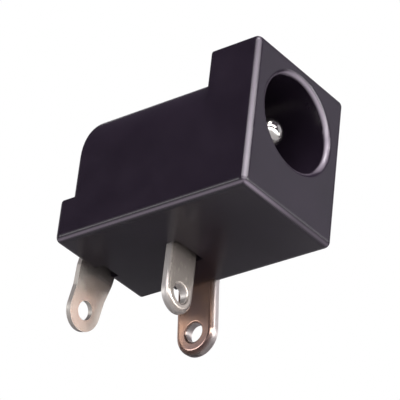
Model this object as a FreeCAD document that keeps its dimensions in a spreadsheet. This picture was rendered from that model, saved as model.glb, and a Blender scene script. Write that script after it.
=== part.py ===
import FreeCAD
import Part
import Sketcher
import math
import os

# A board or panel power socket for a coaxial plug, in millimetres.
# The origin is on the underside, at mid width and mid length. +Z is up, the plug enters along +Y through the
# front face, and the switch contact's tab is at +X.
# Distances are measured from the front face, heights from the underside and depths below the underside.

HOUSING_SIZES = {
    "body_width": 9.0,
    "body_length": 15.0,
    "front_height": 10.8,
    "front_depth": 3.7,
    "barrel_height": 10.45,
    "foot_height": 2.95,
    "foot_depth": 1.05,
    "foot_setback": 0.28,
    "edge_round": 0.45,
    "bore_height": 6.7,
    "bore_diameter": 6.3,
    "bore_depth": 11.0,
    "rim_round": 0.4,
    "floor_thickness": 0.85,
    "step_depth": 0.9,
}
PIN_SIZES = {
    "pin_diameter": 2.0,
    "pin_setback": 1.4,
    "pin_tip_round": 0.9,
    "collar_diameter": 3.2,
    "collar_thickness": 0.5,
    "tail_diameter": 1.5,
    "rivet_diameter": 2.4,
    "rivet_height": 0.45,
    "rivet_round": 0.3,
}
TERMINAL_SIZES = {
    "terminal_thickness": 0.35,
    "terminal_width": 3.1,
    "terminal_neck_width": 1.4,
    "terminal_bend_height": 5.3,
    "terminal_bend_radius": 1.0,
    "terminal_lean": 13.0,
    "terminal_tab_width": 2.7,
    "terminal_taper": 1.3,
    "terminal_eyelet_depth": 2.5,
}
SPRING_SIZES = {
    "spring_thickness": 0.55,
    "spring_width": 2.5,
    "spring_offset": 0.35,
    "spring_tab_distance": 8.2,
    "spring_bend_radius": 0.3,
    "spring_turn_distance": 4.6,
    "spring_turn_radius": 0.75,
    "spring_turn_rise": 1.75,
    "crown_distance": 7.6,
    "crown_reach": 1.05,
    "crown_radius": 0.8,
    "land_radius": 0.5,
    "spring_eyelet_depth": 3.0,
}
SWITCH_SIZES = {
    "switch_thickness": 0.6,
    "switch_width": 3.0,
    "switch_distance": 10.25,
    "switch_shoulder_height": 1.9,
    "switch_lean": 7.0,
    "switch_lean_depth": 0.2,
    "switch_lean_radius": 1.0,
    "switch_eyelet_depth": 3.3,
    "arm_width": 1.2,
    "arm_distance": 10.2,
    "arm_height": 2.8,
    "arm_bend_radius": 0.3,
    "arm_tip_margin": 0.35,
}
SHARED_SIZES = {
    "eyelet_diameter": 1.25,
    "die_roll_share": 0.6,
    "eyelet_roll_share": 0.25,
    "fit_clearance": 0.05,
    "spring_play": 0.3,
    "chamber_play": 0.15,
    "overcut": 1.0,
}

# Places that several pieces share
HALF_WIDTH = "Sizes.body_width / 2"
REAR_FACE = "(Sizes.body_length - Sizes.foot_depth)"
HEAD_FACE = f"({REAR_FACE} + Sizes.terminal_thickness)"
RECESS_FLOOR = "(Sizes.body_width / 2 - Sizes.switch_thickness)"
ARM_FRONT = "(Sizes.arm_distance - Sizes.arm_width / 2)"
ARM_REAR = "(Sizes.arm_distance + Sizes.arm_width / 2)"
ARM_TOP = "(Sizes.arm_height + Sizes.switch_thickness)"
TAIL_HOLE_RADIUS = "Sizes.tail_diameter / 2 + Sizes.fit_clearance"
EYELET_RADIUS = "Sizes.eyelet_diameter / 2"

doc = FreeCAD.newDocument("dc_socket")


def fill_sheet():
    """Write every driving size into the sheet, with its name as the alias."""
    sheet = doc.addObject("Spreadsheet::Sheet", "Sizes")
    groups = (HOUSING_SIZES, PIN_SIZES, TERMINAL_SIZES, SPRING_SIZES, SWITCH_SIZES, SHARED_SIZES)
    rows = [pair for group in groups for pair in group.items()]
    for row, (alias, value) in enumerate(rows, start=1):
        sheet.set(f"A{row}", alias)
        sheet.set(f"B{row}", str(value))
        sheet.setAlias(f"B{row}", alias)
    doc.recompute()


def new_body(label):
    """Start a sub-part whose own origin is at the front face, and move it to the socket's origin."""
    body = doc.addObject("PartDesign::Body", label)
    body.Label = label
    body.setExpression("Placement.Base.y", "-Sizes.body_length / 2")
    return body


def new_sketch(body, role, name, shift=("0", "0", "0"), lean=None):
    """Attach a sketch to one of the body's own planes, shifted along its axes and leaned about the first."""
    plane = next(item for item in body.Origin.OriginFeatures if item.Role == role)
    sketch = body.newObject("Sketcher::SketchObject", name)
    sketch.AttachmentSupport = [(plane, "")]
    sketch.MapMode = "FlatFace"
    if lean:
        first_axis = FreeCAD.Vector(1, 0, 0)
        turn = FreeCAD.Rotation(first_axis, number(sketch, lean))
        sketch.AttachmentOffset = FreeCAD.Placement(FreeCAD.Vector(), turn)
        sketch.setExpression("AttachmentOffset.Rotation.Angle", lean)
    for axis, formula in zip("xyz", shift):
        sketch.setExpression(f"AttachmentOffset.Base.{axis}", formula)
    return sketch


def number(item, formula):
    """The present value of a formula."""
    return float(item.evalExpression(formula))


def spot(sketch, place):
    """The present position of a place given as two formulas."""
    return FreeCAD.Vector(number(sketch, place[0]), number(sketch, place[1]), 0)


def bind(sketch, kind, elements, formula):
    """Add a sized constraint and tie it to a formula."""
    index = sketch.addConstraint(Sketcher.Constraint(kind, *elements, number(sketch, formula)))
    sketch.setExpression(f"Constraints[{index}]", formula)


def hold(sketch, element, end, place):
    """Hold one point of an element at a place measured from the sketch's origin."""
    bind(sketch, "DistanceX", (-1, 1, element, end), place[0])
    bind(sketch, "DistanceY", (-1, 1, element, end), place[1])


def relate(sketch, kind, *elements):
    """Add a constraint that has no size."""
    return sketch.addConstraint(Sketcher.Constraint(kind, *elements))


def draw_polygon(sketch, corners):
    """Draw a closed outline of straight sides through the corners."""
    spots = [spot(sketch, corner) for corner in corners]
    sides = [
        sketch.addGeometry(Part.LineSegment(start, end))
        for start, end in zip(spots, spots[1:] + spots[:1])
    ]
    for side, following, corner in zip(sides, sides[1:] + sides[:1], corners):
        relate(sketch, "Coincident", side, 2, following, 1)
        hold(sketch, side, 1, corner)


def draw_rectangle(sketch, left, right, bottom, top):
    """Draw a rectangle between four formulas."""
    draw_polygon(sketch, [(left, bottom), (right, bottom), (right, top), (left, top)])


def draw_circle(sketch, centre, radius):
    """Draw a circle round a place."""
    axis = FreeCAD.Vector(0, 0, 1)
    circle = sketch.addGeometry(Part.Circle(spot(sketch, centre), axis, number(sketch, radius)))
    hold(sketch, circle, 3, centre)
    bind(sketch, "Radius", (circle,), radius)


def add_arc(sketch, centre, radius, start, end):
    """Add a counter-clockwise arc from the direction of start to that of end."""
    first = math.atan2(start.y - centre.y, start.x - centre.x)
    last = math.atan2(end.y - centre.y, end.x - centre.x)
    if last < first:
        last += 2 * math.pi
    circle = Part.Circle(centre, FreeCAD.Vector(0, 0, 1), radius)
    return sketch.addGeometry(Part.ArcOfCircle(circle, first, last))


def draw_arch(sketch, half_width, foot, spring_line):
    """Draw straight sides from a foot line up to a half-round crown."""
    left, right = f"-({half_width})", half_width
    corners = [(left, spring_line), (left, foot), (right, foot), (right, spring_line)]
    spots = [spot(sketch, corner) for corner in corners]
    sides = [sketch.addGeometry(Part.LineSegment(*pair)) for pair in zip(spots, spots[1:])]
    centre = spot(sketch, ("0", spring_line))
    crown = add_arc(sketch, centre, number(sketch, half_width), spots[3], spots[0])
    loop = sides + [crown]
    for side, following, corner in zip(loop, loop[1:] + loop[:1], corners):
        relate(sketch, "Coincident", side, 2, following, 1)
        hold(sketch, side, 1, corner)
    bind(sketch, "DistanceY", (-1, 1, crown, 3), spring_line)


def draw_end_trim(sketch, middle, side_line, outward):
    """Draw what is cut away around a half-round end that points up (outward 1) or down (outward -1).

    The side line lists places along one side as half width and height. The last is where the round starts.
    """
    half_width, round_height = side_line[-1]
    outer = f"({side_line[0][0]} + Sizes.overcut)"
    beyond = f"({round_height} + {outward} * ({half_width} + Sizes.overcut))"
    near_side = [(f"{middle} + {half}", height) for half, height in reversed(side_line)]
    far_side = [(f"{middle} - {half}", height) for half, height in side_line]
    frame = [
        (f"{middle} + {outer}", side_line[0][1]),
        (f"{middle} + {outer}", beyond),
        (f"{middle} - {outer}", beyond),
        (f"{middle} - {outer}", side_line[0][1]),
    ]
    corners = near_side + frame + far_side
    spots = [spot(sketch, corner) for corner in corners]
    sides = [sketch.addGeometry(Part.LineSegment(*pair)) for pair in zip(spots, spots[1:])]
    centre = spot(sketch, (middle, round_height))
    from_side, to_side = (spots[0], spots[-1])[::outward]
    end = add_arc(sketch, centre, number(sketch, half_width), from_side, to_side)
    entry, leave = (2, 1)[::outward]
    for side, following, corner in zip(sides, sides[1:], corners):
        relate(sketch, "Coincident", side, 2, following, 1)
        hold(sketch, side, 1, corner)
    hold(sketch, sides[-1], 1, corners[-2])
    hold(sketch, sides[-1], 2, corners[-1])
    relate(sketch, "Coincident", sides[-1], 2, end, entry)
    relate(sketch, "Coincident", sides[0], 1, end, leave)
    bind(sketch, "DistanceY", (-1, 1, end, 3), round_height)


def left_of(run):
    """The direction to the left of a run."""
    return FreeCAD.Vector(-run.y, run.x, 0)


def draw_strip(sketch, corners, radii, thickness, side):
    """Draw a folded strip edge on.

    One face of the sheet runs through the corners and is rounded to the radii there.
    The other face lies a thickness to its left (side 1) or to its right (side -1).
    """
    spots = [spot(sketch, corner) for corner in corners]
    runs = [(end - start).normalize() for start, end in zip(spots, spots[1:])]
    turns = [math.copysign(1, before.cross(after).z) for before, after in zip(runs, runs[1:])]
    reaches = [
        number(sketch, radius) * math.tan(before.getAngle(after) / 2)
        for radius, before, after in zip(radii, runs, runs[1:])
    ]
    faces = []
    for shift in (0, side * number(sketch, thickness)):
        starts = [spots[0] + left_of(runs[0]) * shift]
        ends = []
        for bend, reach in enumerate(reaches):
            ends.append(spots[bend + 1] - runs[bend] * reach + left_of(runs[bend]) * shift)
            starts.append(spots[bend + 1] + runs[bend + 1] * reach + left_of(runs[bend + 1]) * shift)
        ends.append(spots[-1] + left_of(runs[-1]) * shift)
        lines = [sketch.addGeometry(Part.LineSegment(*pair)) for pair in zip(starts, ends)]
        arcs = []
        for bend, turn in enumerate(turns):
            radius = number(sketch, radii[bend])
            centre = ends[bend] + left_of(runs[bend]) * (turn * radius - shift)
            begin, finish = (ends[bend], starts[bend + 1])[:: int(turn)]
            arcs.append(add_arc(sketch, centre, radius - turn * shift, begin, finish))
        for bend, turn in enumerate(turns):
            entry, leave = (1, 2)[:: int(turn)]
            relate(sketch, "Tangent", lines[bend], 2, arcs[bend], entry)
            relate(sketch, "Tangent", arcs[bend], leave, lines[bend + 1], 1)
        faces.append((lines, arcs))

    (near_lines, near_arcs), (far_lines, far_arcs) = faces
    for bend, (turn, radius) in enumerate(zip(turns, radii)):
        corner = sketch.addGeometry(Part.Point(spots[bend + 1]), True)
        relate(sketch, "PointOnObject", corner, 1, near_lines[bend])
        relate(sketch, "PointOnObject", corner, 1, near_lines[bend + 1])
        hold(sketch, corner, 1, corners[bend + 1])
        bind(sketch, "Radius", (near_arcs[bend],), radius)
        sign = "-" if turn * side > 0 else "+"
        relate(sketch, "Coincident", far_arcs[bend], 3, near_arcs[bend], 3)
        bind(sketch, "Radius", (far_arcs[bend],), f"{radius} {sign} {thickness}")
    for line, end, corner in ((0, 1, corners[0]), (-1, 2, corners[-1])):
        inner, outer = near_lines[line], far_lines[line]
        hold(sketch, inner, end, corner)
        relate(sketch, "Parallel", inner, outer)
        cap = sketch.addGeometry(Part.LineSegment(sketch.getPoint(inner, end), sketch.getPoint(outer, end)))
        relate(sketch, "Coincident", cap, 1, inner, end)
        relate(sketch, "Coincident", cap, 2, outer, end)
        relate(sketch, "Perpendicular", cap, inner)


def add_pad(body, sketch, name, length, symmetric=False):
    """Raise a sketch on the front plane rearward, or any sketch evenly to both sides."""
    pad = body.newObject("PartDesign::Pad", name)
    pad.Profile = sketch
    pad.setExpression("Length", length)
    if symmetric:
        pad.SideType = "Symmetric"
    else:
        pad.Reversed = True
    doc.recompute()
    return pad


def add_pocket(body, sketch, name, length=None, symmetric=False, along_normal=False):
    """Cut a sketch to a length, or right through, and make sure that it cut something."""
    before = body.Shape.Volume
    pocket = body.newObject("PartDesign::Pocket", name)
    pocket.Profile = sketch
    pocket.Reversed = along_normal
    if symmetric:
        pocket.SideType = "Symmetric"
    if length:
        pocket.setExpression("Length", length)
    else:
        pocket.Type = "ThroughAll"
    doc.recompute()
    if body.Shape.Volume >= before:
        raise RuntimeError(f"{name} cuts nothing")
    return pocket


def add_fillet(body, feature, name, edges, radius):
    """Round the listed edges of a feature."""
    fillet = body.newObject("PartDesign::Fillet", name)
    fillet.Base = (feature, [f"Edge{index}" for index in edges])
    fillet.setExpression("Radius", radius)
    doc.recompute()
    return fillet


def find_edges(feature, wanted):
    """The numbers of a feature's edges that pass a test."""
    return [index for index, edge in enumerate(feature.Shape.Edges, start=1) if wanted(edge)]


def near(first, second):
    """Two lengths agree."""
    return math.isclose(first, second, abs_tol=1e-4)


def roll_edges(body, feature, origin, normal, thickness):
    """Round the outline and the eyelet of a tab on the punched face, given by a point and a normal.

    Each rounding is a share of the sheet's thickness. The outline's runs on where the strip's edge is smooth.
    """
    def on_face(edge):
        points = [vertex.Point for vertex in edge.Vertexes] + [edge.CenterOfMass]
        return all(near((point - origin).dot(normal), 0) for point in points)

    def follows_outline(edge):
        across = near(edge.BoundBox.ZMin, edge.BoundBox.ZMax)
        return on_face(edge) and not across and not edge.isClosed()

    def follows_eyelet(edge):
        return on_face(edge) and edge.isClosed()

    outline_radius = f"Sizes.die_roll_share * {thickness}"
    outline = add_fillet(body, feature, "DieRoll", find_edges(feature, follows_outline), outline_radius)
    eyelet_radius = f"Sizes.eyelet_roll_share * {thickness}"
    add_fillet(body, outline, "EyeletRoll", find_edges(outline, follows_eyelet), eyelet_radius)


def make_housing():
    """The moulding: front block, half-round barrel and foot, with the bore and the contacts' seats cut in."""
    body = new_body("housing")

    outline = new_sketch(body, "XZ_Plane", "FrontOutline")
    draw_rectangle(outline, f"-{HALF_WIDTH}", HALF_WIDTH, "0", "Sizes.front_height")
    add_pad(body, outline, "FrontBlock", "Sizes.front_depth")

    arch = new_sketch(body, "XZ_Plane", "BarrelOutline")
    draw_arch(arch, HALF_WIDTH, "0", f"Sizes.barrel_height - {HALF_WIDTH}")
    add_pad(body, arch, "Barrel", REAR_FACE)

    # The rear strip's neck passes between two feet, the right one a little shorter
    half_gap = "(Sizes.terminal_neck_width / 2 + Sizes.fit_clearance)"
    left_foot = new_sketch(body, "XZ_Plane", "LeftFootOutline")
    draw_rectangle(left_foot, f"-{HALF_WIDTH}", f"-{half_gap}", "0", "Sizes.foot_height")
    add_pad(body, left_foot, "LeftFoot", "Sizes.body_length")

    right_foot = new_sketch(body, "XZ_Plane", "RightFootOutline")
    draw_rectangle(right_foot, half_gap, HALF_WIDTH, "0", "Sizes.foot_height")
    solid = add_pad(body, right_foot, "RightFoot", "Sizes.body_length - Sizes.foot_setback")

    gap_side = number(body, half_gap)
    front_depth = number(body, "Sizes.front_depth")
    foot_height = number(body, "Sizes.foot_height")
    rear_face = number(body, REAR_FACE)
    seam_height = number(body, f"Sizes.barrel_height - {HALF_WIDTH}")

    def stands_out(edge):
        box = edge.BoundBox
        behind_block = near(box.YMin, front_depth) and near(box.YMax, front_depth)
        above_foot = near(box.YMin, rear_face) and near(box.ZMax, foot_height)
        on_flank_seam = near(box.ZMin, seam_height) and near(box.ZMax, seam_height)
        between_feet = near(max(-box.XMin, box.XMax), gap_side)
        return not (behind_block or above_foot or on_flank_seam or between_feet)

    add_fillet(body, solid, "EdgeRounds", find_edges(solid, stands_out), "Sizes.edge_round")

    bore_centre = ("0", "Sizes.bore_height")
    bore = new_sketch(body, "XZ_Plane", "BoreOutline")
    draw_circle(bore, bore_centre, "Sizes.bore_diameter / 2")
    solid = add_pocket(body, bore, "Bore", "Sizes.bore_depth")

    rim_length = math.pi * number(body, "Sizes.bore_diameter")

    def is_rim(edge):
        return near(edge.BoundBox.YMax, 0) and near(edge.Length, rim_length)

    add_fillet(body, solid, "Rim", find_edges(solid, is_rim), "Sizes.rim_round")

    tail_hole = new_sketch(body, "XZ_Plane", "TailHoleOutline")
    draw_circle(tail_hole, bore_centre, TAIL_HOLE_RADIUS)
    add_pocket(body, tail_hole, "TailHole")

    chamber = new_sketch(body, "YZ_Plane", "ChamberOutline", ("0", "0", "Sizes.spring_offset"))
    draw_rectangle(
        chamber,
        "Sizes.spring_turn_distance - Sizes.spring_play",
        "Sizes.bore_depth",
        "Sizes.floor_thickness",
        "Sizes.bore_height - Sizes.bore_diameter / 4",
    )
    add_pocket(body, chamber, "Chamber", "Sizes.spring_width + 2 * Sizes.chamber_play", symmetric=True)

    slot = new_sketch(body, "XY_Plane", "TabSlotOutline")
    draw_rectangle(
        slot,
        "Sizes.spring_offset - Sizes.spring_width / 2 - Sizes.fit_clearance",
        "Sizes.spring_offset + Sizes.spring_width / 2 + Sizes.fit_clearance",
        "Sizes.spring_tab_distance - Sizes.spring_bend_radius - Sizes.fit_clearance",
        "Sizes.spring_tab_distance + Sizes.spring_thickness + Sizes.fit_clearance",
    )
    slot_depth = "Sizes.floor_thickness + Sizes.spring_thickness"
    add_pocket(body, slot, "TabSlot", slot_depth, along_normal=True)

    recess = new_sketch(body, "YZ_Plane", "RecessOutline", ("0", "0", RECESS_FLOOR))
    draw_rectangle(
        recess,
        "Sizes.switch_distance - Sizes.switch_width / 2 - Sizes.fit_clearance",
        "Sizes.body_length + Sizes.overcut",
        "-Sizes.overcut",
        f"{ARM_TOP} + Sizes.fit_clearance",
    )
    add_pocket(body, recess, "SwitchRecess", along_normal=True)

    step = new_sketch(body, "YZ_Plane", "StepOutline", ("0", "0", f"{HALF_WIDTH} - Sizes.step_depth"))
    draw_rectangle(
        step,
        "Sizes.switch_distance + Sizes.switch_width / 2 + Sizes.fit_clearance",
        "Sizes.body_length + Sizes.overcut",
        "-Sizes.overcut",
        f"{ARM_TOP} + Sizes.fit_clearance",
    )
    add_pocket(body, step, "RearStep", along_normal=True)

    window = new_sketch(body, "YZ_Plane", "ArmWindowOutline", ("0", "0", "Sizes.spring_offset"))
    draw_rectangle(
        window,
        f"{ARM_FRONT} - Sizes.fit_clearance",
        f"{ARM_REAR} + Sizes.fit_clearance",
        "Sizes.arm_height - Sizes.arm_bend_radius - Sizes.fit_clearance",
        f"{ARM_TOP} + Sizes.fit_clearance",
    )
    add_pocket(body, window, "ArmWindow", along_normal=True)
    return body


def make_centre_pin():
    """The turned pin: domed tip, shank, collar on the wall's inner face, tail and riveted head."""
    body = new_body("centre_pin")
    section = new_sketch(body, "YZ_Plane", "PinSection", ("0", "Sizes.bore_height", "0"))
    collar_front = "Sizes.bore_depth - Sizes.collar_thickness"
    draw_polygon(
        section,
        [
            ("Sizes.pin_setback", "0"),
            (f"{HEAD_FACE} + Sizes.rivet_height", "0"),
            (f"{HEAD_FACE} + Sizes.rivet_height", "Sizes.rivet_diameter / 2"),
            (HEAD_FACE, "Sizes.rivet_diameter / 2"),
            (HEAD_FACE, "Sizes.tail_diameter / 2"),
            ("Sizes.bore_depth", "Sizes.tail_diameter / 2"),
            ("Sizes.bore_depth", "Sizes.collar_diameter / 2"),
            (collar_front, "Sizes.collar_diameter / 2"),
            (collar_front, "Sizes.pin_diameter / 2"),
            ("Sizes.pin_setback", "Sizes.pin_diameter / 2"),
        ],
    )
    turned = body.newObject("PartDesign::Revolution", "Turned")
    turned.Profile = section
    turned.ReferenceAxis = (section, ["H_Axis"])
    turned.Angle = 360
    doc.recompute()

    tip = number(body, "Sizes.pin_setback")
    head_end = number(body, f"{HEAD_FACE} + Sizes.rivet_height")
    tip_edges = find_edges(turned, lambda edge: near(edge.BoundBox.YMax, tip))
    domed = add_fillet(body, turned, "TipRound", tip_edges, "Sizes.pin_tip_round")
    head_edges = find_edges(domed, lambda edge: near(edge.BoundBox.YMin, head_end))
    add_fillet(body, domed, "HeadRound", head_edges, "Sizes.rivet_round")
    return body


def make_centre_terminal():
    """The rear strip: a plate under the pin's riveted head, a neck that leans rearward and the rear tab."""
    body = new_body("centre_terminal")
    half_width = "Sizes.terminal_width / 2"
    half_neck = "Sizes.terminal_neck_width / 2"
    half_tab = "Sizes.terminal_tab_width / 2"
    top = f"(Sizes.bore_height + {half_width} + Sizes.overcut / 2)"
    underside = "(-Sizes.terminal_bend_height / cos(Sizes.terminal_lean))"
    eyelet = f"({underside} - Sizes.terminal_eyelet_depth)"
    length = f"(Sizes.overcut / 2 + {half_tab} - {eyelet})"

    section = new_sketch(body, "YZ_Plane", "StripSection")
    tab_end = (
        f"{REAR_FACE} + {length} * sin(Sizes.terminal_lean)",
        f"Sizes.terminal_bend_height - {length} * cos(Sizes.terminal_lean)",
    )
    corners = [(REAR_FACE, top), (REAR_FACE, "Sizes.terminal_bend_height"), tab_end]
    draw_strip(section, corners, ["Sizes.terminal_bend_radius"], "Sizes.terminal_thickness", side=1)
    add_pad(body, section, "Strip", "Sizes.terminal_width", symmetric=True)

    plate_end = new_sketch(body, "XZ_Plane", "PlateEndOutline")
    draw_end_trim(plate_end, "0", [(half_width, "Sizes.bore_height")], outward=1)
    draw_circle(plate_end, ("0", "Sizes.bore_height"), TAIL_HOLE_RADIUS)
    add_pocket(body, plate_end, "PlateEnd")

    # Each of the tab's shoulders stands just clear of the rear face of the foot on its side
    left_reach = "(Sizes.foot_depth + Sizes.fit_clearance)"
    right_reach = f"({left_reach} - Sizes.foot_setback)"
    left_shoulder = f"Sizes.terminal_bend_height - {left_reach} / tan(Sizes.terminal_lean)"
    right_shoulder = f"Sizes.terminal_bend_height - {right_reach} / tan(Sizes.terminal_lean)"
    outer = f"({half_width} + Sizes.overcut)"
    neck = new_sketch(body, "XZ_Plane", "NeckOutline")
    draw_rectangle(neck, f"-{outer}", f"-{half_neck}", left_shoulder, "Sizes.terminal_bend_height")
    draw_rectangle(neck, half_neck, outer, right_shoulder, "Sizes.terminal_bend_height")
    add_pocket(body, neck, "Neck")

    bend = ("0", "Sizes.terminal_bend_height", f"-{REAR_FACE}")
    tab = new_sketch(body, "XZ_Plane", "TabOutline", bend, lean="Sizes.terminal_lean")
    side_line = [
        (half_width, underside),
        (half_tab, f"{underside} - Sizes.terminal_taper"),
        (half_tab, eyelet),
    ]
    draw_end_trim(tab, "0", side_line, outward=-1)
    draw_circle(tab, ("0", eyelet), EYELET_RADIUS)
    add_pocket(body, tab, "Tab", symmetric=True)
    return body


def make_sleeve_spring():
    """The folded spring: middle tab, base on the chamber floor, turn, and a leaf with a crown in the bore."""
    body = new_body("sleeve_spring")
    half_width = "Sizes.spring_width / 2"
    eyelet = "(-Sizes.spring_eyelet_depth)"
    crown_height = "Sizes.bore_height - Sizes.bore_diameter / 2 + Sizes.crown_reach"

    section = new_sketch(body, "YZ_Plane", "StripSection", ("0", "0", "Sizes.spring_offset"))
    corners = [
        ("Sizes.spring_tab_distance", f"{eyelet} - {half_width} - Sizes.overcut / 2"),
        ("Sizes.spring_tab_distance", "Sizes.floor_thickness"),
        ("Sizes.spring_turn_distance", "Sizes.floor_thickness"),
        ("Sizes.spring_turn_distance", "Sizes.floor_thickness + Sizes.spring_turn_rise"),
        ("Sizes.crown_distance", crown_height),
        (f"{ARM_FRONT} - Sizes.land_radius", "Sizes.arm_height"),
        (ARM_REAR, "Sizes.arm_height"),
    ]
    radii = [
        "Sizes.spring_bend_radius",
        "Sizes.spring_turn_radius",
        "Sizes.spring_turn_radius",
        "Sizes.crown_radius",
        "Sizes.land_radius",
    ]
    draw_strip(section, corners, radii, "Sizes.spring_thickness", side=-1)
    add_pad(body, section, "Strip", "Sizes.spring_width", symmetric=True)

    tab = new_sketch(body, "XZ_Plane", "TabOutline")
    draw_end_trim(tab, "Sizes.spring_offset", [(half_width, eyelet)], outward=-1)
    draw_circle(tab, ("Sizes.spring_offset", eyelet), EYELET_RADIUS)
    solid = add_pocket(body, tab, "Tab")

    tab_front = FreeCAD.Vector(0, number(body, "Sizes.spring_tab_distance"), 0)
    roll_edges(body, solid, tab_front, FreeCAD.Vector(0, 1, 0), "Sizes.spring_thickness")
    return body


def make_switch_contact():
    """The folded strip on the right flank: side tab, plate in the recess, and an arm over the leaf's end."""
    body = new_body("switch_contact")
    half_width = "Sizes.switch_width / 2"
    eyelet = "(Sizes.switch_lean_depth - Sizes.switch_eyelet_depth)"
    length = f"(Sizes.overcut / 2 + {half_width} - {eyelet})"
    arm_tip = "Sizes.spring_offset - Sizes.spring_width / 2 + Sizes.arm_tip_margin"

    section = new_sketch(body, "XZ_Plane", "StripSection", ("0", "0", "-Sizes.switch_distance"))
    tab_end = (
        f"{RECESS_FLOOR} + {length} * sin(Sizes.switch_lean)",
        f"-Sizes.switch_lean_depth - {length} * cos(Sizes.switch_lean)",
    )
    corners = [
        tab_end,
        (RECESS_FLOOR, "-Sizes.switch_lean_depth"),
        (RECESS_FLOOR, "Sizes.arm_height"),
        (arm_tip, "Sizes.arm_height"),
    ]
    radii = ["Sizes.switch_lean_radius", "Sizes.arm_bend_radius"]
    draw_strip(section, corners, radii, "Sizes.switch_thickness", side=-1)
    add_pad(body, section, "Strip", "Sizes.switch_width", symmetric=True)

    bend = ("0", "-Sizes.switch_lean_depth", RECESS_FLOOR)
    tab = new_sketch(body, "YZ_Plane", "TabOutline", bend, lean="-Sizes.switch_lean")
    draw_end_trim(tab, "Sizes.switch_distance", [(half_width, eyelet)], outward=-1)
    draw_circle(tab, ("Sizes.switch_distance", eyelet), EYELET_RADIUS)
    add_pocket(body, tab, "Tab", symmetric=True)

    arm_sides = new_sketch(body, "YZ_Plane", "ArmSidesOutline")
    front = f"Sizes.switch_distance - {half_width} - Sizes.overcut"
    rear = f"Sizes.switch_distance + {half_width} + Sizes.overcut"
    top = f"{ARM_TOP} + Sizes.overcut"
    draw_rectangle(arm_sides, front, ARM_FRONT, "Sizes.switch_shoulder_height", top)
    draw_rectangle(arm_sides, ARM_REAR, rear, "Sizes.switch_shoulder_height", top)
    solid = add_pocket(body, arm_sides, "ArmSides", symmetric=True)

    bend_line = FreeCAD.Vector(number(body, RECESS_FLOOR), 0, -number(body, "Sizes.switch_lean_depth"))
    lean = math.radians(number(body, "Sizes.switch_lean"))
    punched = FreeCAD.Vector(math.cos(lean), 0, math.sin(lean))
    roll_edges(body, solid, bend_line, punched, "Sizes.switch_thickness")
    return body


def check_document():
    """Stop if any object of the document failed to build."""
    for item in doc.Objects:
        if "Invalid" in item.State or "Error" in item.State:
            raise RuntimeError(f"{item.Label} failed: {item.State}")


def write_part(body):
    """Check one sub-part's shape and write it under its label."""
    shape = body.Shape
    if shape.isNull() or not shape.isValid() or len(shape.Solids) != 1:
        raise RuntimeError(f"{body.Label} isn't one valid solid")
    shape.exportStep(f"parts/{body.Label}.step")
    print(f"{body.Label}: {shape.Volume:.3f} mm3")


fill_sheet()
bodies = [
    make_housing(),
    make_centre_pin(),
    make_centre_terminal(),
    make_sleeve_spring(),
    make_switch_contact(),
]
doc.recompute()
check_document()
os.makedirs("parts", exist_ok=True)
for finished in bodies:
    write_part(finished)
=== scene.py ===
# %% [markdown]
# # A DC power socket on a small studio table
#
# The socket is a black moulding with a turned pin in its bore and three folded metal strips. The solids come
# from the CAD model, in metres, so nothing is fitted by eye here. This lesson gives each of them its finish,
# and sets up the light and the camera of the photograph.

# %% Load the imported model
import math

import bmesh
import bpy
from mathutils import Matrix, Vector


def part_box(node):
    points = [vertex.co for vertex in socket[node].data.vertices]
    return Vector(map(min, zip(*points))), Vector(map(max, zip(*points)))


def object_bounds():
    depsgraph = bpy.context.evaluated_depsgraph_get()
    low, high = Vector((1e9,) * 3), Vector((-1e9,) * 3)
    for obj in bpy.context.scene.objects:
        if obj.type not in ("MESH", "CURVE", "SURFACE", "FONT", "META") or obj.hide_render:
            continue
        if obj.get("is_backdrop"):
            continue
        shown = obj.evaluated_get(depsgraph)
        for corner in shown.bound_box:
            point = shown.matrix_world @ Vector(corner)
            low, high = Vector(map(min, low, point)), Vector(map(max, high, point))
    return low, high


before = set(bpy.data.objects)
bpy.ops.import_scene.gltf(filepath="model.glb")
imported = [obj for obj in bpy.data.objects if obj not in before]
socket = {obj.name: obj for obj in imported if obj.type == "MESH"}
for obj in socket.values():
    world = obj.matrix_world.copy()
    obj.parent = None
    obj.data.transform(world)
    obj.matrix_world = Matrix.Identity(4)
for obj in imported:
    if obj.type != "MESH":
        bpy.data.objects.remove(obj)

MM = 0.001
cad_lowest, cad_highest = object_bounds()
middles = {}
for name in socket:
    lowest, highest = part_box(name)
    middles[name] = (lowest + highest) / 2
    print(name, "is", [round(side / MM, 2) for side in highest - lowest], "mm")

# %% [markdown]
# ## The camera
#
# The photograph looks up at the socket from the front left, from far away through a long lens, so parallel
# edges stay nearly parallel. The place and the aim were found by matching the housing's corners with the
# photograph. A camera could also be turned by three angles, but a place, an aim and a small roll say plainly
# what the photographer did.

# %% Place the camera
LENS_PLACE = Vector((-104.215, -91.977, -80.583)) * MM
LENS_AIM = Vector((0.180, -0.111, 3.399)) * MM
LENS_ROLL = math.radians(6.684)
IMAGE_WIDTH = 400
FOCAL_LENGTH_IN_PIXELS = 2600
SENSOR_WIDTH = 36
NEAREST_SEEN = 10 * MM

lens = bpy.data.cameras.new("photo_lens")
lens.sensor_width = SENSOR_WIDTH
lens.lens = FOCAL_LENGTH_IN_PIXELS / IMAGE_WIDTH * SENSOR_WIDTH
lens.clip_start = NEAREST_SEEN
camera = bpy.data.objects.new("photo_camera", lens)
sight = LENS_AIM - LENS_PLACE
level = sight.to_track_quat("-Z", "Y").to_matrix().to_4x4()
camera.matrix_world = Matrix.Translation(LENS_PLACE) @ level @ Matrix.Rotation(LENS_ROLL, 4, "Z")
bpy.context.scene.collection.objects.link(camera)
bpy.context.scene.camera = camera
bpy.context.scene.view_settings.view_transform = "Standard"
print("the lens is", round(lens.lens), "mm long and", round(sight.length / MM), "mm away")

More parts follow.
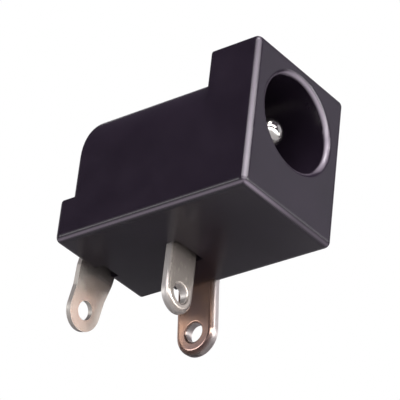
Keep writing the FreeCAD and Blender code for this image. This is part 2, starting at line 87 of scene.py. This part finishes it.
# %% [markdown]
# ## The moulded housing
#
# The housing is injection-moulded in black, with a hint of violet where the light grazes it. Its finish, like
# the others below, is a graph of nodes: textures feed the sockets of one principled shader. A graph could be
# drawn in the shader editor, but a few helpers build it in lines that can be read and changed. A value that
# is the same all over a surface is set on the shader's own socket.

# %% Start the finish of the housing
def add_node(finish, kind, sockets=None, **settings):
    """A node of a finish, with its settings and the values of its sockets."""
    node = finish.node_tree.nodes.new(kind)
    for key, value in settings.items():
        setattr(node, key, value)
    for key, value in (sockets or {}).items():
        node.inputs[key].default_value = value
    return node


def join(finish, source, output, target, entry):
    """A wire from one node's output to another node's input."""
    finish.node_tree.links.new(source.outputs[output], target.inputs[entry])


def show(finish, shader):
    """Show a shader on the surface."""
    surface = finish.node_tree.get_output_node("ALL")
    join(finish, shader, 0, surface, "Surface")


def bare_finish(name):
    """A new material with nothing but its output."""
    finish = bpy.data.materials.new(name)
    finish.use_nodes = True
    finish.node_tree.nodes.clear()
    add_node(finish, "ShaderNodeOutputMaterial")
    return finish


def start_finish(name, **constants):
    """A new material that shows one principled shader, with its constant sockets set by name."""
    finish = bare_finish(name)
    shader = add_node(finish, "ShaderNodeBsdfPrincipled", constants)
    show(finish, shader)
    return finish, shader


moulded_black, shader = start_finish("moulded_black", IOR=1.5)
print(moulded_black.name, "starts with", len(moulded_black.node_tree.nodes), "nodes")

# %% [markdown]
# ## Wear and painted highlight on the housing's edges
#
# The outer edges show lilac-grey lines, the lower ones like highlights of something bright below the
# socket. This scene has a floor there and no light, so the lines are a painted highlight: a paler colour
# on the edges, with the wear that handling gives to all edges of black plastic as well. It could be painted
# on the mesh by hand, but an edge is where the surface faces two ways at once, so the smaller of two parts
# of its direction finds it. The barrel's round roof faces two ways as well, so the edges that run lengthwise
# are looked for at the underside only. The crosswise lines' painted highlight fades to the right.

# %% Direction and place on the housing
def vector_step(finish, operation, source, output, other=None):
    """A step of vector arithmetic, with a fixed vector on its other side where it needs one."""
    sockets = {} if other is None else {1: other}
    step = add_node(finish, "ShaderNodeVectorMath", sockets, operation=operation)
    join(finish, source, output, step, 0)
    return step


def parts_of(finish, source, output):
    """The X, Y and Z of a vector, as three values."""
    parts = add_node(finish, "ShaderNodeSeparateXYZ")
    join(finish, source, output, parts, "Vector")
    return parts


place = add_node(moulded_black, "ShaderNodeTexCoord")
facing = vector_step(moulded_black, "ABSOLUTE", place, "Normal")
ways = parts_of(moulded_black, facing, "Vector")
spot = parts_of(moulded_black, place, "Object")
print("direction and place bring it to", len(moulded_black.node_tree.nodes), "nodes")

# %% Wear and painted highlight on upright edges
# The paler upright edges are wear from handling with a painted highlight.
UPRIGHT_WEAR_AND_HIGHLIGHT = 0.52
UPRIGHT_REACH = (0.30, 0.70)


def combine(finish, operation, first, first_output, second, second_output):
    """Two values brought together, such as the smaller of the two."""
    result = add_node(finish, "ShaderNodeMath", operation=operation)
    join(finish, first, first_output, result, 0)
    join(finish, second, second_output, result, 1)
    return result


def spread(finish, source, output, low, high, reach=(0.3, 0.7)):
    """A reach of a value, such as the middle of a noise, mapped to a range from low to high."""
    sockets = {"From Min": reach[0], "From Max": reach[1], "To Min": low, "To Max": high}
    mapped = add_node(finish, "ShaderNodeMapRange", sockets)
    join(finish, source, output, mapped, "Value")
    return mapped


upright = combine(moulded_black, "MINIMUM", ways, "X", ways, "Y")
upright_wear_and_highlight = spread(moulded_black, upright, "Value", 0.0, UPRIGHT_WEAR_AND_HIGHLIGHT, reach=UPRIGHT_REACH)
print("upright edges have", UPRIGHT_WEAR_AND_HIGHLIGHT, "of the full wear")

# %% Wear and painted highlight on lengthwise edges
# The paler lower edges that run lengthwise are wear with a painted highlight.
LENGTHWISE_WEAR_AND_HIGHLIGHT = 0.80
LENGTHWISE_REACH = (0.45, 0.70)
AT_UNDERSIDE = (0.60 * MM, 0.72 * MM)

lengthwise = combine(moulded_black, "MINIMUM", ways, "X", ways, "Z")
at_underside = spread(moulded_black, spot, "Z", 1.0, 0.0, reach=AT_UNDERSIDE)
lower = combine(moulded_black, "MINIMUM", lengthwise, "Value", at_underside, "Result")
lengthwise_wear_and_highlight = spread(moulded_black, lower, "Value", 0.0, LENGTHWISE_WEAR_AND_HIGHLIGHT, reach=LENGTHWISE_REACH)
print("lengthwise edges have", LENGTHWISE_WEAR_AND_HIGHLIGHT, "of the full wear")

# %% Wear and painted highlight on crosswise edges
# The paler crosswise edges are wear with a painted highlight, which fades towards the right.
CROSSWISE_REACH = (0.40, 0.68)
SHARE_ON_THE_RIGHT = 0.33
LEFT_TO_MIDDLE = (-3.6 * MM, 0.8 * MM)

crosswise = combine(moulded_black, "MINIMUM", ways, "Y", ways, "Z")
full_wear_and_highlight = spread(moulded_black, crosswise, "Value", 0.0, 1.0, reach=CROSSWISE_REACH)
fading = spread(moulded_black, spot, "X", 1.0, SHARE_ON_THE_RIGHT, reach=LEFT_TO_MIDDLE)
crosswise_wear_and_highlight = combine(moulded_black, "MULTIPLY", full_wear_and_highlight, "Result", fading, "Result")
long_wear_and_highlight = combine(moulded_black, "MAXIMUM", upright_wear_and_highlight, "Result", lengthwise_wear_and_highlight, "Result")
wear_and_highlight = combine(moulded_black, "MAXIMUM", long_wear_and_highlight, "Value", crosswise_wear_and_highlight, "Value")
print("crosswise edges have full wear on the left and", SHARE_ON_THE_RIGHT, "of it on the right")

# %% [markdown]
# ## Painted highlight on the bore's rim
#
# A pale arc on the bore's rim is a painted highlight, a paler colour on one side of the rim where light
# would glint. The rim could be a ring of its own, but the real one is part of the moulding, so it stays in
# the housing's finish. It is found by its distance from the bore's axis, which is the pin's as well, and by
# a surface that faces half forwards and half inwards. The side with the painted highlight faces left and
# down, and so lies on the right and at the top.

# %% Find the rim
ACROSS_THE_BORE = (1, 0, 1)
RIM_REACH = (3.600 * MM, 3.708 * MM)
HALF_FORWARDS = (0.15, 0.55)
HALF_INWARDS = (0.75, 0.97)

from_axis = vector_step(moulded_black, "SUBTRACT", place, "Object", middles["centre_pin"])
across_bore = vector_step(moulded_black, "MULTIPLY", from_axis, "Vector", ACROSS_THE_BORE)
distance = vector_step(moulded_black, "LENGTH", across_bore, "Vector")
at_bore = spread(moulded_black, distance, "Value", 1.0, 0.0, reach=RIM_REACH)
forwards = spread(moulded_black, ways, "Y", 0.0, 1.0, reach=HALF_FORWARDS)
inwards = spread(moulded_black, ways, "Y", 1.0, 0.0, reach=HALF_INWARDS)
rounding = combine(moulded_black, "MINIMUM", forwards, "Result", inwards, "Result")
whole_rim = combine(moulded_black, "MINIMUM", rounding, "Value", at_bore, "Result")
print("the rim is looked for up to", round(RIM_REACH[0] / MM, 2), "mm from the bore's axis")

# %% Find the side of the rim with the painted highlight
# The painted highlight lies on the side of the rim that faces this way.
HIGHLIT_SIDE = (-0.77, 0, -0.64)
HIGHLIT_REACH = (0.05, 0.45)

towards_highlit_side = vector_step(moulded_black, "DOT_PRODUCT", place, "Normal", HIGHLIT_SIDE)
on_highlit_side = spread(moulded_black, towards_highlit_side, "Value", 0.0, 1.0, reach=HIGHLIT_REACH)
rim = combine(moulded_black, "MINIMUM", whole_rim, "Value", on_highlit_side, "Result")
print("edges and rim bring it to", len(moulded_black.node_tree.nodes), "nodes")

# %% [markdown]
# ## Colour, sheen and grain of the plastic
#
# Moulds for such parts are often finished by spark erosion, which gives the plastic a very fine satin grain,
# and the sheen varies a little where the melt flowed. A grain this small could be sculpted, but a bump of
# about a thousandth of a millimetre is lighter and as true. Noise makes both, on the object's own
# coordinates, so that it stays on the part from every side.

# %% Colour of the plastic
DARK_PLASTIC = (0.012, 0.008, 0.0145)
LIGHT_PLASTIC = (0.017, 0.0115, 0.020)


def noise(finish, grain_size, stretch=(1, 1, 1), detail=3.0):
    """Noise on the object's own coordinates, with grains in millimetres, drawn out along the axes."""
    place = add_node(finish, "ShaderNodeTexCoord")
    scale = [1 / (grain_size * MM * factor) for factor in stretch]
    mapping = add_node(finish, "ShaderNodeMapping", {"Scale": scale})
    sockets = {"Scale": 1.0, "Detail": detail, "Roughness": 0.55}
    texture = add_node(finish, "ShaderNodeTexNoise", sockets)
    join(finish, place, "Object", mapping, "Vector")
    join(finish, mapping, "Vector", texture, "Vector")
    return texture


def tint(finish, source, output, stops):
    """Colours along a texture's range, as pairs of a position and a colour."""
    ramp = add_node(finish, "ShaderNodeValToRGB")
    marks = ramp.color_ramp.elements
    for mark, (position, colour) in zip(marks, (stops[0], stops[-1])):
        mark.position = position
        mark.color = (*colour, 1)
    for position, colour in stops[1:-1]:
        marks.new(position).color = (*colour, 1)
    join(finish, source, output, ramp, "Fac")
    return ramp


flow = noise(moulded_black, grain_size=2.5, detail=4.0)
colour = tint(moulded_black, flow, "Fac", [(0.3, DARK_PLASTIC), (0.7, LIGHT_PLASTIC)])
print("the plastic's colour runs from", DARK_PLASTIC, "to", LIGHT_PLASTIC)

# %% Colour of the edges and the rim
# The edges' colour is wear from handling with a painted highlight; the rim's colour is a painted highlight.
EDGE_WEAR_AND_HIGHLIGHT = (0.230, 0.194, 0.237)
PAINTED_RIM_HIGHLIGHT = (0.300, 0.262, 0.306)
# The sockets of the Mix node share their names, so those for colours are picked by number.
MIX_MASK, MIX_PLAIN, MIX_MASKED, MIX_RESULT = 0, 6, 7, 2


def blend_colours(finish, mask, output, plain, plain_output, masked):
    """The plain colour where the mask is 0, and one masked colour where it is 1."""
    mix = add_node(finish, "ShaderNodeMix", data_type="RGBA")
    mix.inputs[MIX_MASKED].default_value = (*masked, 1)
    join(finish, mask, output, mix, MIX_MASK)
    join(finish, plain, plain_output, mix, MIX_PLAIN)
    return mix


# Paint the edges' wear and highlight, then the rim's painted highlight, over the plastic's colour.
edged = blend_colours(moulded_black, wear_and_highlight, "Value", colour, "Color", EDGE_WEAR_AND_HIGHLIGHT)
with_rim_highlight = blend_colours(moulded_black, rim, "Value", edged, MIX_RESULT, PAINTED_RIM_HIGHLIGHT)
join(moulded_black, with_rim_highlight, MIX_RESULT, shader, "Base Color")
print("the edges are rubbed to", EDGE_WEAR_AND_HIGHLIGHT, "and the rim to", PAINTED_RIM_HIGHLIGHT)

# %% Sheen of the plastic
SATIN = (0.21, 0.27)
EDGE_POLISH = -0.14


def set_roughness(finish, shader, base, mask, output, change):
    """A base roughness, with a change added where the mask is 1."""
    roughness = add_node(finish, "ShaderNodeMath", {1: change}, operation="MULTIPLY_ADD")
    join(finish, mask, output, roughness, 0)
    join(finish, base, "Result", roughness, 2)
    join(finish, roughness, "Value", shader, "Roughness")


satin = spread(moulded_black, flow, "Fac", *SATIN)
set_roughness(moulded_black, shader, satin, wear_and_highlight, "Value", EDGE_POLISH)
print("the plastic's roughness is", SATIN, "and changes by", EDGE_POLISH, "on rubbed edges")

# %% Grain of the plastic
GRAIN_DEPTH = 0.0012


def emboss(finish, shader, heights):
    """Bump the surface by textures, each with its depth in millimetres, one on top of the other."""
    below = None
    for texture, output, depth in heights:
        bump = add_node(finish, "ShaderNodeBump", {"Strength": 1.0, "Distance": depth * MM})
        join(finish, texture, output, bump, "Height")
        if below:
            join(finish, below, "Normal", bump, "Normal")
        below = bump
    join(finish, below, "Normal", shader, "Normal")


def dress(node, finish):
    """Give a CAD solid its finish."""
    slots = socket[node].data.materials
    slots.clear()
    slots.append(finish)
    print(node, "wears", finish.name, "made of", len(finish.node_tree.nodes), "nodes")


grain = noise(moulded_black, grain_size=0.09)
emboss(moulded_black, shader, [(grain, "Fac", GRAIN_DEPTH)])
dress("housing", moulded_black)

# %% [markdown]
# ## The turned pin
#
# Such a pin is cut on a lathe and plated with nickel. Its tip is bright and domed. The tool leaves fine rings
# round the axis, which runs along Y here. They could be cut into the mesh, but a wave texture along that axis
# gives them as a bump and keeps the solid as it is. Old plate clouds a little, so a noise varies its colour
# and its gloss.

# %% Finish of the pin
RING_PITCH = 0.05 * MM
RING_DEPTH = 0.0015
WAVE_LENGTH_AT_SCALE_1 = math.pi / 10
DULL_NICKEL = (0.56, 0.54, 0.51)
BRIGHT_NICKEL = (0.66, 0.64, 0.61)
NICKEL_GLOSS = (0.12, 0.19)

turned_nickel, shader = start_finish("turned_nickel", Metallic=1.0)
place = add_node(turned_nickel, "ShaderNodeTexCoord")
cut = {"Scale": WAVE_LENGTH_AT_SCALE_1 / RING_PITCH, "Distortion": 0.6, "Detail": 2.0}
rings = add_node(turned_nickel, "ShaderNodeTexWave", cut, bands_direction="Y")
join(turned_nickel, place, "Object", rings, "Vector")
bloom = noise(turned_nickel, grain_size=0.8, detail=4.0)
colour = tint(turned_nickel, bloom, "Fac", [(0.3, DULL_NICKEL), (0.7, BRIGHT_NICKEL)])
gloss = spread(turned_nickel, bloom, "Fac", *NICKEL_GLOSS)
join(turned_nickel, colour, "Color", shader, "Base Color")
join(turned_nickel, gloss, "Result", shader, "Roughness")
emboss(turned_nickel, shader, [(rings, "Fac", RING_DEPTH)])
dress("centre_pin", turned_nickel)

# %% [markdown]
# ## The stamped strips
#
# The three strips are stamped from sheet and folded. Rolling left faint lines along the sheet, and tin plate
# clouds over as it ages. The punch sheared their edges, which stay rougher than the faces and have a colour
# of their own. Each strip could have its own graph, but one recipe serves all three, with each strip's
# colours: lines drawn out along the strip, clouds of tarnish, and a mask that finds the sheared edges by the
# direction in which the surface faces.

# %% Finish of the rear strip
ALONG_THE_STRIP = (1, 1, 18)
ROLLING_DEPTH = 0.0008
TARNISH_DEPTH = 0.004
TURNED_AWAY = (0.25, 0.85)
SHEARED_ROUGHNESS = 0.18
REAR_TAB_LEAN = math.radians(13)


def stamped(name, clouds, edge_colour, face, gloss, bare_metal):
    """A rolled, plated and sheared sheet, whose tab faces along one direction."""
    finish, shader = start_finish(name, Metallic=bare_metal)
    tarnish = noise(finish, grain_size=1.6, detail=5.0)
    rolling = noise(finish, grain_size=0.07, stretch=ALONG_THE_STRIP)
    colour = tint(finish, tarnish, "Fac", clouds)

    place = add_node(finish, "ShaderNodeTexCoord")
    towards_face = vector_step(finish, "DOT_PRODUCT", place, "Normal", face)
    either_face = add_node(finish, "ShaderNodeMath", operation="ABSOLUTE")
    join(finish, towards_face, "Value", either_face, 0)
    sheared = spread(finish, either_face, "Value", 1.0, 0.0, reach=TURNED_AWAY)

    edged = blend_colours(finish, sheared, "Result", colour, "Color", edge_colour)
    join(finish, edged, MIX_RESULT, shader, "Base Color")
    rolled = spread(finish, rolling, "Fac", *gloss)
    set_roughness(finish, shader, rolled, sheared, "Result", SHEARED_ROUGHNESS)
    emboss(finish, shader, [(rolling, "Fac", ROLLING_DEPTH), (tarnish, "Fac", TARNISH_DEPTH)])
    return finish


tinned_brass = stamped(
    "tinned_brass",
    clouds=[(0.3, (0.60, 0.54, 0.48)), (0.5, (0.68, 0.63, 0.57)), (0.7, (0.73, 0.69, 0.64))],
    edge_colour=(0.70, 0.66, 0.60),
    face=(0, math.cos(REAR_TAB_LEAN), math.sin(REAR_TAB_LEAN)),
    gloss=(0.18, 0.26),
    bare_metal=0.75,
)
dress("centre_terminal", tinned_brass)

# %% Finish of the middle strip
tinned_bronze = stamped(
    "tinned_bronze",
    clouds=[(0.3, (0.55, 0.48, 0.43)), (0.7, (0.70, 0.63, 0.56))],
    edge_colour=(0.84, 0.80, 0.76),
    face=(0, 1, 0),
    gloss=(0.20, 0.28),
    bare_metal=0.75,
)
dress("sleeve_spring", tinned_bronze)

# %% Finish of the side strip
SIDE_TAB_LEAN = math.radians(7)
darkened_copper = stamped(
    "darkened_copper",
    clouds=[(0.3, (0.38, 0.26, 0.24)), (0.55, (0.48, 0.31, 0.24)), (0.75, (0.60, 0.36, 0.25))],
    edge_colour=(0.66, 0.60, 0.58),
    face=(math.cos(SIDE_TAB_LEAN), 0, math.sin(SIDE_TAB_LEAN)),
    gloss=(0.15, 0.21),
    bare_metal=0.9,
)
dress("switch_contact", darkened_copper)

# %% [markdown]
# ## The pale floor
#
# The socket stands on the tips of its tabs, on a pale sheet of card. The photograph looks up from below,
# where a table would be in the way. The floor could be left out, but looks from above need it, so the card
# shows its top side only and lets a look from underneath pass.

# %% Lay the floor
FLOOR_RADIUS = 0.6
FLOOR_CORNERS = 96
FLOOR_GAP = 0.02 * MM

disc = bmesh.new()
bmesh.ops.create_circle(disc, cap_ends=True, segments=FLOOR_CORNERS, radius=FLOOR_RADIUS)
sheet_mesh = bpy.data.meshes.new("pale_floor")
disc.to_mesh(sheet_mesh)
disc.free()
sheet = bpy.data.objects.new("pale_floor", sheet_mesh)
sheet.location.z = cad_lowest.z - FLOOR_GAP
bpy.context.scene.collection.objects.link(sheet)
sheet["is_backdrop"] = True
print("the floor lies", round(-sheet.location.z / MM, 2), "mm below the housing's underside")

# %% Finish of the floor
DARK_FIBRES = (0.65, 0.65, 0.65)
LIGHT_FIBRES = (0.69, 0.69, 0.69)


def show_either(finish, mask, output, plain, masked):
    """Show the plain shader where the mask is 0, and the masked one where it is 1."""
    either = add_node(finish, "ShaderNodeMixShader")
    join(finish, mask, output, either, 0)
    join(finish, plain, 0, either, 1)
    join(finish, masked, 0, either, 2)
    show(finish, either)


pale_card, shader = start_finish("pale_card", Roughness=0.8)
fibres = noise(pale_card, grain_size=0.6)
colour = tint(pale_card, fibres, "Fac", [(0.3, DARK_FIBRES), (0.7, LIGHT_FIBRES)])
join(pale_card, colour, "Color", shader, "Base Color")
side = add_node(pale_card, "ShaderNodeNewGeometry")
clear = add_node(pale_card, "ShaderNodeBsdfTransparent")
show_either(pale_card, side, "Backfacing", shader, clear)
sheet.data.materials.append(pale_card)
print("the floor wears", pale_card.name, "on its top side")

# %% [markdown]
# ## The white background
#
# The photograph has a plain white background. Stronger lamps could whiten a wall, but they would wash out the
# socket. So a white card hangs behind it, as the lens sees it, which is white to the lens and in reflections
# and adds no light.

# %% Hang the white card
CARD_DISTANCE = 0.35
CARD_SIDE = 0.16

half = CARD_SIDE / 2
corners = [(x * half, y * half, 0) for x, y in ((-1, -1), (1, -1), (1, 1), (-1, 1))]
card_mesh = bpy.data.meshes.new("white_card")
card_mesh.from_pydata(corners, [], [(0, 1, 2, 3)])
white_card = bpy.data.objects.new("white_card", card_mesh)
behind = LENS_AIM + sight.normalized() * CARD_DISTANCE
white_card.matrix_world = Matrix.Translation(behind) @ level
bpy.context.scene.collection.objects.link(white_card)
white_card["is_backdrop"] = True
print("the white card hangs", round(CARD_DISTANCE / MM), "mm behind the socket")

# %% Finish of the white card
plain_white = bare_finish("plain_white")
glow = add_node(plain_white, "ShaderNodeEmission", {"Strength": 1.0})
clear = add_node(plain_white, "ShaderNodeBsdfTransparent")
path = add_node(plain_white, "ShaderNodeLightPath")
mirrored = combine(plain_white, "MAXIMUM", path, "Is Glossy Ray", path, "Is Transmission Ray")
seen = combine(plain_white, "MAXIMUM", path, "Is Camera Ray", mirrored, "Value")
show_either(plain_white, seen, "Value", clear, glow)
white_card.data.materials.append(plain_white)
print("the white card wears", plain_white.name, "made of", len(plain_white.node_tree.nodes), "nodes")

# %% [markdown]
# ## Light
#
# Black gloss shows what stands round it more than the light that falls on it, so each light here has its line
# on the socket. Two flat strips, in front and on the left, draw the line on the upright front edge. Low boxes
# round the front light the bore's rim, the pin and the tabs. Dimmer panels on the right give the front face
# and the tabs their tone, and those on the rear left light the left side and the long lower edge. A key panel
# high on the front left lights the floor and the barrel. The socket's shadow then falls to the rear right,
# just where the underside mirrors the floor, so the underside stays dark. Two soft panels behind and on the
# right serve looks from those sides. Lamps without a size could give as much light, but area lights are used
# because their shape shows in gloss, as real soft boxes do.

# %% Light the socket
LIT_SPOT = Vector((0, 0, 4)) * MM
LIGHT_DISTANCE = 0.35
WATTS_FOR_WHITE = 4
LILAC = (1.0, 0.95, 1.0)
COOL = (0.96, 0.97, 1.0)


def soft_box(name, turn, rise, width, height, brightness, colour=(1, 1, 1)):
    """An area light that faces the socket, given by angles in degrees as the socket sees it.

    It stands a turn from the front towards the right, and a rise above the table. Brightness is that of its
    surface, where 1 is a white card. A square metre of that takes the watts for white.
    """
    turn, rise = math.radians(turn), math.radians(rise)
    heading = Vector((math.sin(turn) * math.cos(rise), -math.cos(turn) * math.cos(rise), math.sin(rise)))
    light = bpy.data.lights.new(name, "AREA")
    light.shape = "RECTANGLE"
    light.size = 2 * LIGHT_DISTANCE * math.tan(math.radians(width / 2))
    light.size_y = 2 * LIGHT_DISTANCE * math.tan(math.radians(height / 2))
    light.energy = brightness * WATTS_FOR_WHITE * light.size * light.size_y
    light.color = colour
    lamp = bpy.data.objects.new(name, light)
    facing = heading.to_track_quat("Z", "Y").to_matrix().to_4x4()
    lamp.matrix_world = Matrix.Translation(LIT_SPOT + heading * LIGHT_DISTANCE) @ facing
    bpy.context.scene.collection.objects.link(lamp)
    print(name, "shines with", round(light.energy, 2), "W")


soft_box("key_panel", turn=-45, rise=52, width=26, height=20, brightness=6.5)
soft_box("front_strip", turn=-14, rise=31, width=54, height=5, brightness=10.5, colour=LILAC)
soft_box("left_strip", turn=-62, rise=31, width=42, height=5, brightness=7.5, colour=LILAC)
soft_box("low_front_box", turn=5, rise=6, width=50, height=14, brightness=6.5)
soft_box("low_side_box", turn=36, rise=2.5, width=12, height=7, brightness=3.0)
soft_box("low_left_box", turn=-48, rise=5, width=56, height=13, brightness=3.5)
soft_box("right_panel", turn=49, rise=32, width=22, height=20, brightness=0.43, colour=COOL)
soft_box("low_right_panel", turn=46, rise=13, width=12, height=14, brightness=1.6)
soft_box("rear_left_panel", turn=-125, rise=15, width=22, height=14, brightness=0.4)
soft_box("low_rear_left_box", turn=-125, rise=2.5, width=22, height=10, brightness=3.5)
soft_box("rear_panel", turn=180, rise=18, width=40, height=24, brightness=0.5)
soft_box("right_fill", turn=105, rise=38, width=34, height=24, brightness=0.5)

# %% Dim room
ROOM_COLOUR = (0.075, 0.062, 0.085)
room = bpy.data.worlds.new("dim_room")
room.use_nodes = True
room.node_tree.nodes["Background"].inputs["Color"].default_value = (*ROOM_COLOUR, 1)
bpy.context.scene.world = room
print("the room's own light is", ROOM_COLOUR)

# %% [markdown]
# ## Size
#
# The dressed socket should stay as large as the CAD model, so its size is printed.

# %% Print the sizes
lowest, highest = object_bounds()
print("the dressed socket is", [round(side / MM, 2) for side in highest - lowest], "mm")
